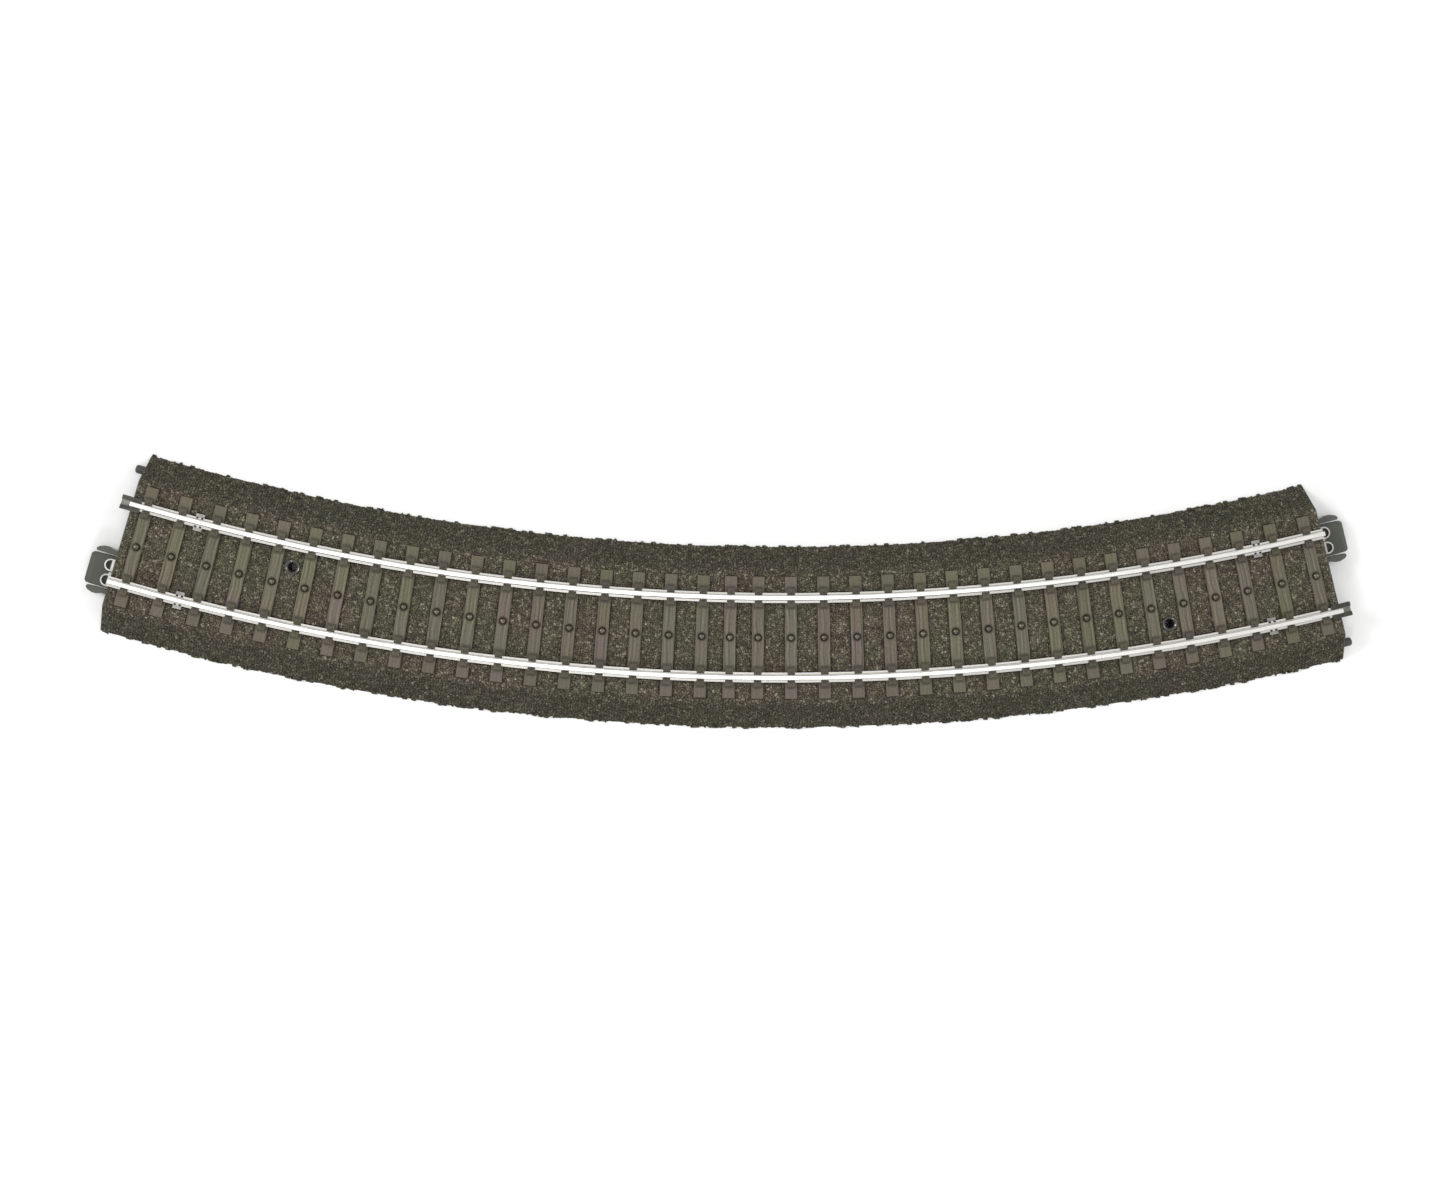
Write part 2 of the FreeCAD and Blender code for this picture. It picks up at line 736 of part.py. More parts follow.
def rail_bond(name, end):
    """A strap under the deck that joins both rails: a saddle under each rail's foot, lugs that
    grip the foot, and a tab for a wire."""
    body = new_body(name)
    angle = bond_angle * end
    band_top = size.bond_under + size.sheet
    saddle_under = size.rail_seat - size.sheet
    leg = size.sheet / 2
    right = [
        (rail_side + leg, size.bond_under),
        (rail_side + leg, saddle_under),
        (rail_side + size.saddle_half, saddle_under),
        (rail_side + size.saddle_half, size.rail_seat),
        (rail_side - size.saddle_half, size.rail_seat),
        (rail_side - size.saddle_half, saddle_under),
        (rail_side - leg, saddle_under),
        (rail_side - leg, band_top),
    ]
    outline = [(across(side), height) for side, height in right]
    outline += [(across(-side), height) for side, height in reversed(right)]
    section_prism(body, PAD, [outline], angle, size.bond_wide)
    lugs = []
    for rail_place in (-rail_side, rail_side):
        for way in (-1, 1):
            for along in (-size.lug_apart, size.lug_apart):
                inner = across(rail_place) + (size.foot_half - size.notch_deep + 0.1) * way
                outer = across(rail_place) + (size.foot_half + 0.05) * way
                half = size.lug_wide / 2
                lugs.append(box(along - half, along + half, inner, outer))
    plan_prism(body, PAD, lugs, angle, size.rail_seat - 0.15, size.lug_top)
    near = size.tongue_side - size.tongue_half
    back = -size.bond_wide / 2
    tab = box(
        back - size.spade_long, back + 0.2, near - size.spade_wide / 2, near + size.spade_wide / 2
    )
    tab = [(x * end, y * end - size.curve_radius) for x, y in tab]
    plan_prism(body, PAD, [tab], angle, size.bond_under, band_top)


def hairpin(body, end, side, back, under):
    """A strip on edge, bent round in plan: out along one side, round the nose and back, with a
    level web between its legs."""
    outer = size.loop_radius
    inner = size.loop_radius - size.sheet
    nose = size.loop_out - size.loop_radius
    centre = end_point(end, nose, side)
    outline = end_outline(
        end,
        [
            (nose, side + outer),
            (back, side + outer),
            (back, side + inner),
            (nose, side + inner),
            (nose, side - inner),
            (back, side - inner),
            (back, side - outer),
            (nose, side - outer),
        ],
    )
    outline.insert(4, Bend(centre, True))
    outline.append(Bend(centre, False))
    plan_prism(body, PAD, [outline], end_angle * end, under, size.loop_top)
    web = end_box(end, back, nose - 0.1, side - inner - 0.1, side + inner + 0.1)
    plan_prism(body, PAD, [web], end_angle * end, size.web_under, size.web_under + size.sheet)


def rail_contact(name, end):
    """From the bond's band out through the end wall, under the rail, to the contact loop, which
    has a small flange towards the other loop."""
    body = new_body(name)
    under = size.bond_under + size.sheet
    side = size.loop_rail_side
    half = size.loop_radius
    back = -(size.end_wall + 0.6)
    # The lap that lies on the band is narrow, so as to pass inside the bond's leg.
    lap = -bond_back + size.bond_wide / 2 + 0.4
    lap_back = -bond_back - size.bond_wide / 2
    plate = [
        (back, side - half),
        (back, side + half),
        (lap, side + half),
        (lap, side - 0.6),
        (lap_back, side - 0.6),
        (lap_back, side - half),
    ]
    outline = end_outline(end, plate)
    plan_prism(body, PAD, [outline], end_angle * end, under, under + size.sheet)
    hairpin(body, end, side, back - 0.5, under)
    flange = end_box(end, 0.1, 0.9, side - half - 0.45, side - half + 0.1)
    plan_prism(body, PAD, [flange], end_angle * end, size.web_under, size.web_under + size.sheet)


def centre_contact(name, end):
    """From under the stud strip across to the tongue's side, with a loop and a wiring tab."""
    body = new_body(name)
    under = strip_under - size.sheet
    side = size.loop_stud_side
    half = size.loop_radius
    back = -(size.end_wall + 0.6)
    arm_back = back - 3
    tab_side = size.tongue_side - size.tongue_half
    plate = [
        (back, side - half),
        (back, side + half),
        (arm_back, side + half),
        (arm_back, tab_side + size.spade_wide / 2),
        (arm_back - size.spade_long, tab_side + size.spade_wide / 2),
        (arm_back - size.spade_long, tab_side - size.spade_wide / 2),
        (arm_back, tab_side - size.spade_wide / 2),
        (arm_back, 0),
        (back, 0),
    ]
    outline = end_outline(end, plate)
    plan_prism(body, PAD, [outline], end_angle * end, under, strip_under)
    hairpin(body, end, side, back - 0.5, size.bond_under + size.sheet)


# ---------------------------------------------------------------- the latch arms


def latch_arm(name, end, side):
    """A springy arm beside the tongue: a bar with a hook that bulges away from the tongue."""
    body = new_body(name)
    half = size.arm_thick / 2
    middle = arm_middle(side)
    root = -size.arm_pivot
    bar = [
        (root, middle - half * side),
        (size.arm_long - 0.2, middle - half * side),
        (size.arm_long, middle),
        (size.arm_long - 0.5, middle + half * side),
        (size.arm_long - 1.6, middle + (half + size.arm_hook) * side),
        (size.arm_long - 2.6, middle + (half + size.arm_hook) * side),
        (1.5, middle + half * side),
        (root, middle + half * side),
    ]
    heights = size.arm_under, size.arm_top
    plan_prism(body, PAD, [end_outline(end, bar)], end_angle * end, *heights)
    knuckle = {"centre": end_point(end, root, middle), "radius": half}
    plan_prism(body, PAD, [knuckle], end_angle * end, *heights)


# ---------------------------------------------------------------- assembly


def build():
    roadbed()
    rail("inner_rail", -rail_side)
    rail("outer_rail", rail_side)
    rail_joiner("joiner_left", LEFT, -rail_side)
    rail_joiner("joiner_right", RIGHT, rail_side)
    stud_strip()
    for word, end in ENDS.items():
        rail_bond(f"rail_bond_{word}", end)
        rail_contact(f"rail_contact_{word}", end)
        centre_contact(f"centre_contact_{word}", end)
        latch_arm(f"latch_{word}_near", end, -1)
        latch_arm(f"latch_{word}_far", end, 1)


def check_document():
    for thing in doc.Objects:
        if {"Invalid", "Error"} & set(thing.State):
            raise RuntimeError(f"{thing.Name} ({thing.Label}) failed: {thing.State}")


def export_bodies():
    os.makedirs("parts", exist_ok=True)
    bodies = [thing for thing in doc.Objects if thing.isDerivedFrom("PartDesign::Body")]
    for body in bodies:
        shape = body.Shape
        if shape.isNull() or not shape.isValid() or not shape.Solids:
            raise RuntimeError(f"{body.Label} has no valid solid")
    for body in bodies:
        body.Shape.exportStep(f"parts/{body.Label}.step")
        print(body.Label, len(body.Shape.Solids), "solid", round(body.Shape.Volume, 2), "mm3")


build()
doc.recompute()
check_document()
export_bodies()
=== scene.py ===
import math

import bmesh
import bpy
import numpy as np
from mathutils import Matrix, Vector


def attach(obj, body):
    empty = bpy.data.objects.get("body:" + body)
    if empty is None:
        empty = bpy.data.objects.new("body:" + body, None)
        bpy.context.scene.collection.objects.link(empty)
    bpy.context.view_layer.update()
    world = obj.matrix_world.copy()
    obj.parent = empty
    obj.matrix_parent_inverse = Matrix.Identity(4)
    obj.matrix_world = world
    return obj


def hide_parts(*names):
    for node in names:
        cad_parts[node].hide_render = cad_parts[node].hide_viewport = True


# Looks for a curved model track section. Lengths below are in millimetres until a mesh is made, and
# places are given along the track: an angle from its middle in degrees, then how far to the outside
# of the centre line (side), then a height.
MM = 0.001
RADIUS = 515.0
TURN = 30.0
PITCH = TURN / 37
DEGREE = RADIUS * math.pi / 180
EVEN = [PITCH * (0.85 + step) for step in range(16)]
WIDE = [EVEN[-1] + 1.075 * PITCH * step for step in (1, 2)]
SLEEPER_ANGLES = sorted([0.0] + [way * a for a in EVEN + WIDE for way in (-1, 1)])
RAIL_SIDE, RAIL_FOOT, RAIL_TOP, HEAD_HALF, FOOT_HALF = 8.75, 8.0, 10.3, 0.5, 1.1
BASE_HALF, CROWN_HALF, DECK = 20.0, 14.2, 7.2
SLEEPER_HALF, SLEEPER_REACH, SLEEPER_TOP = 1.34, 13.44, 7.925
SEAT_INNER, SEAT_OUTER = RAIL_SIDE - 2.4, RAIL_SIDE + 2.55
STUD_HOLE = 0.86
SCREW_RIM = 1.66
SCREWS = [(way * PITCH * 13.35, 4.0 * way) for way in (-1, 1)]
BONDS = [way * (EVEN[-1] + 0.5375 * PITCH) for way in (-1, 1)]
BOND_HALF_ALONG, BOND_HALF_ACROSS = 1.15, 2.1
ENDS = {"left": -1, "right": 1}

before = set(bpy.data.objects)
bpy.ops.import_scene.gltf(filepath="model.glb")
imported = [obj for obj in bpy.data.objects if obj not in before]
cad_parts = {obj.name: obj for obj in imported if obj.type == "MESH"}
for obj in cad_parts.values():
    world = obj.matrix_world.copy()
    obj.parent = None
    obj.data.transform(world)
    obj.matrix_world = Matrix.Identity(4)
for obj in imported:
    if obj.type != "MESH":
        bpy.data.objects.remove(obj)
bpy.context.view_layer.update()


# ---------------------------------------------------------------- places and meshes


def on_track(angle, side, height):
    """Row-frame points, in millimetres, for arrays of angle, side and height."""
    turn = np.radians(angle)
    reach = RADIUS + np.asarray(side, float)
    x, y = reach * np.sin(turn), RADIUS - reach * np.cos(turn)
    return np.stack(np.broadcast_arrays(x, y, np.asarray(height, float)), axis=-1)


def beside(angle, along, side, height):
    """The same for a straight piece that lies square across the track at one angle."""
    turn = np.radians(angle)
    reach = RADIUS + np.asarray(side, float)
    along = np.asarray(along, float)
    x = along * np.cos(turn) + reach * np.sin(turn)
    y = RADIUS + along * np.sin(turn) - reach * np.cos(turn)
    return np.stack(np.broadcast_arrays(x, y, np.asarray(height, float)), axis=-1)


def mesh_piece(name, points, faces, body, material, smooth=True, tint=None):
    """A mesh object from points in millimetres, riding on a body of the frame."""
    mesh = bpy.data.meshes.new(name)
    mesh.from_pydata((np.asarray(points) * MM).tolist(), [], [list(face) for face in faces])
    mesh.update()
    if smooth:
        mesh.shade_smooth()
    if tint is not None:
        layer = mesh.color_attributes.new("tint", "FLOAT_COLOR", "POINT")
        rgba = np.ones((len(points), 4))
        rgba[:, :3] = tint
        layer.data.foreach_set("color", rgba.ravel())
    mesh.materials.append(material)
    piece = bpy.data.objects.new(name, mesh)
    bpy.context.scene.collection.objects.link(piece)
    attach(piece, body)
    return piece


def grid_faces(rows, columns, keep=None):
    """Quads over a grid of points that is rows by columns, row by row."""
    index = np.arange(rows * columns).reshape(rows, columns)
    quads = np.stack([index[:-1, :-1], index[:-1, 1:], index[1:, 1:], index[1:, :-1]], axis=-1)
    quads = quads.reshape(-1, 4)
    return quads if keep is None else quads[keep.reshape(-1)]


def joined(parts):
    """Joins (points, faces) pairs into one pair."""
    points, faces, offset = [], [], 0
    for part_points, part_faces in parts:
        points.append(np.asarray(part_points, float))
        faces += [[i + offset for i in face] for face in part_faces]
        offset += len(part_points)
    return np.concatenate(points), faces


def loft(rings, closed_ends=True):
    """Skins a list of rings, each with the same count of points."""
    count = len(rings[0])
    faces = []
    for row in range(len(rings) - 1):
        a, b = row * count, (row + 1) * count
        for i in range(count):
            j = (i + 1) % count
            faces.append([a + i, a + j, b + j, b + i])
    if closed_ends:
        faces.append(list(range(count))[::-1])
        last = (len(rings) - 1) * count
        faces.append(list(range(last, last + count)))
    return np.concatenate(rings), faces


def lathe(place, profile, steps):
    """Turns a profile of (radius, height) about an upright axis through place."""
    turns = np.linspace(0, 2 * math.pi, steps, endpoint=False)
    rings = []
    for radius, height in profile:
        ring = np.stack([radius * np.cos(turns), radius * np.sin(turns), 0 * turns + height], -1)
        rings.append(ring + place)
    return loft(rings, closed_ends=False)


def smoothstep(low, high, value):
    """0 at low, 1 at high and smooth between, whichever of the two is the larger."""
    t = np.clip((value - low) / (high - low), 0, 1)
    return t * t * (3 - 2 * t)


# ---------------------------------------------------------------- materials


class Look:
    """A node material that is built up one node at a time."""

    def __init__(self, name):
        self.material = bpy.data.materials.new(name)
        self.material.use_nodes = True
        self.tree = self.material.node_tree
        self.shader = self.tree.nodes["Principled BSDF"]
        self.place = self.node("ShaderNodeTexCoord").outputs["Object"]

    def node(self, kind, **inputs):
        """Adds a node and feeds its inputs, named with _ for a space."""
        node = self.tree.nodes.new(kind)
        for key, value in inputs.items():
            self.feed(node, key, value)
        return node

    def plug(self, socket, value):
        """Links a socket to another one, or gives it a plain value."""
        if isinstance(value, bpy.types.NodeSocket):
            self.tree.links.new(value, socket)
        else:
            socket.default_value = value

    def feed(self, node, key, value):
        self.plug(node.inputs[key.replace("_", " ")], value)

    def set(self, **inputs):
        """Feeds the inputs of the material's own shader."""
        for key, value in inputs.items():
            self.feed(self.shader, key, value)

    def maths(self, operation, *values):
        """Arithmetic on values or sockets, by the name of a math node's operation."""
        node = self.tree.nodes.new("ShaderNodeMath")
        node.operation = operation
        for socket, value in zip(node.inputs, values):
            self.plug(socket, value)
        return node.outputs[0]

    def share(self, value, low, high):
        """How far a value is on its way from low to high, both in millimetres."""
        node = self.node("ShaderNodeMapRange", Value=value)
        node.inputs["From Min"].default_value = low * MM
        node.inputs["From Max"].default_value = high * MM
        return node.outputs[0]

    def noise(self, scale, detail, vector=None, stretch=None):
        """Fractal noise; scale is in cycles per metre."""
        vector = vector or self.place
        if stretch:
            mapping = self.node("ShaderNodeMapping", Vector=vector, Scale=stretch)
            vector = mapping.outputs[0]
        node = self.node("ShaderNodeTexNoise", Vector=vector, Scale=scale, Detail=detail)
        self.feed(node, "Roughness", 0.55)
        return node.outputs[0]

    def ramp(self, value, stops):
        """A colour for a value, from (value, colour) stops."""
        node = self.node("ShaderNodeValToRGB", Fac=value)
        marks = node.color_ramp.elements
        while len(marks) < len(stops):
            marks.new(0.5)
        for mark, (place, colour) in zip(marks, stops):
            mark.position = place
            mark.color = (*colour, 1)
        return node.outputs[0]

    def grey(self, value, low, high, start=0.3, stop=0.7):
        """A grey that goes from low to high while the value goes from start to stop."""
        return self.ramp(value, [(start, (low,) * 3), (stop, (high,) * 3)])

    def times(self, first, second):
        """One colour multiplied by another."""
        node = self.tree.nodes.new("ShaderNodeMix")
        node.data_type = "RGBA"
        node.blend_type = "MULTIPLY"
        amount, first_colour, second_colour, product = 0, 6, 7, 2
        node.inputs[amount].default_value = 1.0
        self.plug(node.inputs[first_colour], first)
        self.plug(node.inputs[second_colour], second)
        return node.outputs[product]

    def bump(self, height, distance, strength, under=None):
        """A normal from a height, over the normal under it if there is one."""
        node = self.node("ShaderNodeBump", Height=height, Distance=distance, Strength=strength)
        if under:
            self.feed(node, "Normal", under)
        return node.outputs[0]

    def tint(self):
        """The colour that is stored on the mesh's points."""
        node = self.node("ShaderNodeVertexColor")
        node.layer_name = "tint"
        return node.outputs["Color"]


def painted_relief(name, rough_low, rough_high, grain, chips=0.0):
    """Matt paint over a moulded relief: its colour is the mesh's own tint, broken up finely. chips
    is how many stone chips there are to the metre, for ballast: each stone gets its own tone,
    painted shade in the crevices between the stones, and the brightest stones are painted white as
    highlights."""
    look = Look(name)
    fine = look.noise(grain, detail=5)
    broad = look.noise(85, detail=2)
    speckle = look.ramp(fine, [(0.25, (0.62, 0.62, 0.62)), (0.75, (1.38, 1.37, 1.33))])
    drift = look.ramp(broad, [(0.36, (0.96, 1.02, 0.94)), (0.64, (1.06, 0.985, 1.03))])
    colour = look.times(look.tint(), speckle)
    colour = look.times(colour, drift)
    normal = look.bump(fine, 0.00006, 0.6)
    if chips:
        cell = look.node("ShaderNodeTexVoronoi", Vector=look.place, Scale=chips)
        border = look.node("ShaderNodeTexVoronoi", Vector=look.place, Scale=chips)
        border.feature = "DISTANCE_TO_EDGE"
        # The crevices between the stones are painted dark as shade.
        crevice = look.ramp(border.outputs["Distance"], [(0.0, (0.26,) * 3), (0.2, (1.0,) * 3)])
        luck = look.node("ShaderNodeSeparateColor", Color=cell.outputs["Color"]).outputs[0]
        # Each stone has its own tone; the brightest few are painted near white as highlights.
        chip = look.ramp(luck, [(0.0, (0.72,) * 3), (0.72, (1.15,) * 3), (0.96, (1.95, 2.0, 2.3))])
        colour = look.times(colour, crevice)
        colour = look.times(colour, chip)
        normal = look.bump(border.outputs["Distance"], 0.00022, 0.7, under=normal)
    look.set(Base_Color=colour, Roughness=look.grey(fine, rough_low, rough_high))
    look.set(Normal=normal, Specular_IOR_Level=0.35)
    return look.material


def plastic(name, colour, roughness, depth=0.00002, shine=0.5):
    """Satin moulded plastic with a fine spark-eroded grain and slight handling marks. The grain is
    depth metres deep."""
    look = Look(name)
    fine = look.noise(5200.0, detail=4)
    broad = look.noise(240, detail=4)
    low, high = tuple(c * 0.86 for c in colour), tuple(c * 1.16 for c in colour)
    shade = look.ramp(broad, [(0.3, low), (0.7, high)])
    look.set(Base_Color=shade, Roughness=look.grey(broad, roughness - 0.07, roughness + 0.09))
    look.set(Normal=look.bump(fine, depth, 0.5), Specular_IOR_Level=shine)
    return look.material


def drawn_rail():
    """Rail steel: fine lines that follow the curve, a polished head, a duller foot, and painted
    brown shade in the web and fillet between them and along the foot beside the head."""
    look = Look("drawn_rail")
    parts = look.node("ShaderNodeSeparateXYZ", Vector=look.place)
    spot = look.node("ShaderNodeVectorMath", Vector=look.place)
    spot.operation = "SUBTRACT"
    spot.inputs[1].default_value = (0, RADIUS * MM, 0)
    reach = look.node("ShaderNodeVectorMath", Vector=spot.outputs[0])
    reach.operation = "LENGTH"
    across = look.node("ShaderNodeCombineXYZ", X=reach.outputs["Value"], Y=parts.outputs["Z"])
    lines = look.noise(1.0, detail=3, vector=across.outputs[0], stretch=(16000, 9000, 1))
    smears = look.noise(260, detail=5)
    level = look.share(parts.outputs["Z"], RAIL_FOOT, RAIL_TOP)
    # The web and the fillet under the head are painted dark as shade.
    web, foot, head = (0.06, 0.053, 0.042), (0.86, 0.84, 0.80), (0.95, 0.94, 0.905)
    fillet = (0.45, 0.44, 0.42)
    marks = [(0.0, foot), (0.17, foot), (0.25, web), (0.62, web), (0.78, fillet), (0.93, head)]
    colour = look.ramp(level, marks)
    # Painted shade lies along the foot on both sides of the head.
    side = look.maths("ABSOLUTE", look.maths("SUBTRACT", reach.outputs["Value"], RADIUS * MM))
    off = look.maths("ABSOLUTE", look.maths("SUBTRACT", side, RAIL_SIDE * MM))
    unshaded, shaded = (1, 1, 1), (0.42, 0.41, 0.38)
    beside_head = look.share(off, HEAD_HALF - 0.1, HEAD_HALF + 0.3)
    painted_shade = look.ramp(beside_head, [(0.2, unshaded), (0.27, shaded), (0.5, shaded), (0.68, unshaded)])
    colour = look.times(colour, painted_shade)
    wear = look.ramp(smears, [(0.3, (0.84, 0.83, 0.81)), (0.62, (1, 1, 1))])
    look.set(Base_Color=look.times(colour, wear), Metallic=1.0)
    look.set(Roughness=look.grey(smears, 0.36, 0.22))
    look.set(Normal=look.bump(lines, 0.000004, 0.7))
    return look.material


def metal(name, colour, roughness, dull, scratches=0.000004, dark_above=None, dark=0.12):
    """Rolled sheet metal: fine lines, scratches metres deep, and smears that take up to dull off
    its colour. Above the height dark_above, in millimetres, its colour is multiplied by dark as
    painted shade."""
    look = Look(name)
    look.set(Metallic=1.0)
    lines = look.noise(1.0, detail=4, stretch=(700, 700, 9000))
    smears = look.noise(420, detail=5)
    low, high = tuple(c * (1 - dull) for c in colour), tuple(min(c * 1.04, 1) for c in colour)
    shade = look.ramp(smears, [(0.32, low), (0.62, high)])
    # Above dark_above the metal is darkened as painted shade.
    if dark_above:
        height = look.node("ShaderNodeSeparateXYZ", Vector=look.place).outputs["Z"]
        blur = 0.02
        level = look.share(height, dark_above - blur, dark_above + blur)
        painted_shade = look.grey(level, 1.0, dark, 0.0, 1.0)
        shade = look.times(shade, painted_shade)
    look.set(Base_Color=shade, Roughness=look.grey(smears, roughness + 0.1, roughness - 0.03))
    look.set(Normal=look.bump(lines, scratches, 0.7))
    return look.material


BALLAST = painted_relief("ballast_paint", 0.62, 0.86, 7000.0, chips=1800.0)
TIMBER = painted_relief("sleeper_paint", 0.5, 0.72, 5200.0)
MOULDED = plastic("moulded_bed", (0.05, 0.048, 0.04), 0.5)
PLUG = plastic("plug_plastic", (0.044, 0.049, 0.034), 0.46)
LATCH = plastic("latch_plastic", (0.068, 0.071, 0.056), 0.4)
RAIL_STEEL = drawn_rail()
STUD_STEEL = metal("stud_steel", (0.155, 0.14, 0.108), 0.36, dull=0.4)
# The joiner's walls and the bond's lugs above dark_above are painted dark as shade.
JOINER = metal(
    "joiner_metal", (0.21, 0.205, 0.18), 0.34,
    dull=0.4, scratches=0.000008, dark_above=8.06, dark=0.38,
)
TINNED = metal("tinned_sheet", (0.55, 0.54, 0.51), 0.3, dull=0.3)
BOND = metal("bond_sheet", (0.34, 0.332, 0.31), 0.34, dull=0.35, dark_above=8.02)
RIM = plastic("screw_rim", (0.028, 0.026, 0.02), 0.2, depth=0.000003, shine=1.0)


# ---------------------------------------------------------------- ballast

SLOPE_TINT = (0.073, 0.067, 0.042)
CROWN_TINT = (0.121, 0.107, 0.072)
# Heights over the bed's own surface: of the lowest stones, and where ballast is tucked under it.
LOWEST, SUNK = 0.03, -0.25


def stones(along, across, size, seed):
    """Crushed stone as a cellular field over points on the unrolled bed, in millimetres. Gives how
    near each point is to its own stone's edge, its offset from the stone's middle, and four
    random numbers that belong to the stone."""
    cell_u, cell_v = np.floor(along / size).astype(int), np.floor(across / size).astype(int)
    first_u, first_v = cell_u.min() - 1, cell_v.min() - 1
    shape = (cell_u.max() - first_u + 2, cell_v.max() - first_v + 2, 6)
    chance = np.random.default_rng(seed).random(shape)
    nearest = np.full(along.shape, 1e9)
    second = nearest.copy()
    own = np.zeros(along.shape + (6,))
    for step_u in (-1, 0, 1):
        for step_v in (-1, 0, 1):
            u, v = cell_u + step_u, cell_v + step_v
            luck = chance[u - first_u, v - first_v]
            off_u = along - (u + 0.08 + 0.84 * luck[..., 0]) * size
            off_v = across - (v + 0.08 + 0.84 * luck[..., 1]) * size
            gap = np.hypot(off_u, off_v)
            closer = gap < nearest
            second = np.where(closer, nearest, np.minimum(second, gap))
            nearest = np.where(closer, gap, nearest)
            facts = np.stack([off_u, off_v, *(luck[..., k] for k in range(2, 6))], axis=-1)
            own[closer] = facts[closer]
    return second - nearest, own


def ballast_height(along, across, slope):
    """Relief over the bed's own surface, and a shade for each point: each stone's own tone, with
    painted light on the higher stones and painted shade in the gaps between them. The stones on the
    slope are larger, with deeper gaps between them."""
    relief = np.zeros(along.shape)
    shade = np.zeros(along.shape)
    for size, seed, depth, part in ((0.5, 41, 1.0, ~slope), (0.6, 42, 1.5, slope)):
        edge, own = stones(along, across, size, seed)
        off_u, off_v, bulk, lean_u, lean_v, paleness = np.moveaxis(own, -1, 0)
        tilt = off_u * (lean_u - 0.5) + off_v * (lean_v - 0.5)
        body = 0.12 + 0.34 * size * bulk + 0.9 * tilt
        crevice = 1 - smoothstep(0.0, 0.36 * size, edge)
        height = body - 0.30 * depth * size * crevice
        relief = np.where(part, height, relief)
        # Each stone's own tone, with painted light on the higher stones and painted shade in the
        # crevices between them.
        tone = 0.75 + 0.2 * depth + 0.7 * paleness ** 3.0
        tone += 0.9 * np.clip(height, 0, 0.35) - 0.72 * depth * crevice
        shade = np.where(part, tone, shade)
    return relief, shade


def bed_lines(step):
    """Across the bed, from one foot to the other: the distance over the surface, side, height, and
    the surface's normal as (out, up)."""
    slope_length = math.hypot(BASE_HALF - CROWN_HALF, DECK)
    reach = CROWN_HALF + slope_length
    walk = np.linspace(-reach, reach, int(2 * reach / step) + 1)
    over = np.clip(np.abs(walk) - CROWN_HALF, 0, None)
    run, drop = (BASE_HALF - CROWN_HALF) / slope_length, DECK / slope_length
    side = np.sign(walk) * (np.minimum(np.abs(walk), CROWN_HALF) + over * run)
    height = DECK - over * drop
    lean = smoothstep(-0.9, 0.9, np.abs(walk) - CROWN_HALF)
    out = np.sign(walk) * drop * lean
    up = np.sqrt(np.clip(1 - out**2, 0, 1))
    return walk, side, height, out, up


def clearings(angle_grid, side_grid, relief):
    """Sinks the stones round the fixing holes and the bonds. Gives the new relief, and where there
    is no ballast at all: at those places and under the studs."""
    gone = np.zeros(relief.shape, bool)
    for screw, screw_side in SCREWS:
        off = np.hypot((angle_grid - screw) * DEGREE, side_grid - screw_side)
        relief = np.where(off < SCREW_RIM, SUNK, relief)
        gone |= off < SCREW_RIM - 0.26
    for bond in BONDS:
        for rail in (-RAIL_SIDE, RAIL_SIDE):
            off_u = np.abs(angle_grid - bond) * DEGREE - BOND_HALF_ALONG
            off_v = np.abs(side_grid - rail) - BOND_HALF_ACROSS
            off = np.maximum(off_u, off_v)
            relief = np.where(off < 0.12, np.minimum(relief, LOWEST), relief)
            gone |= off < 0.0
    for stud in SLEEPER_ANGLES:
        gone |= np.hypot((angle_grid - stud) * DEGREE, side_grid) < 1.0
    return relief, gone


def painted_shade(angle, side_grid):
    """What is left of each point's brightness under painted shade, which lies along the rails and
    against the sleepers."""
    from_rail = np.abs(np.abs(side_grid) - RAIL_SIDE)
    by_rail = smoothstep(FOOT_HALF + 0.45, FOOT_HALF + 0.05, from_rail)
    nearest = np.min([np.abs(angle - sleeper) for sleeper in SLEEPER_ANGLES], axis=0) * DEGREE
    by_sleeper = smoothstep(SLEEPER_HALF + 0.46, SLEEPER_HALF + 0.06, nearest)[:, None]
    by_sleeper = by_sleeper * (np.abs(side_grid) < SLEEPER_REACH + 0.16)
    return (1 - 0.6 * by_rail) * (1 - 0.45 * by_sleeper)


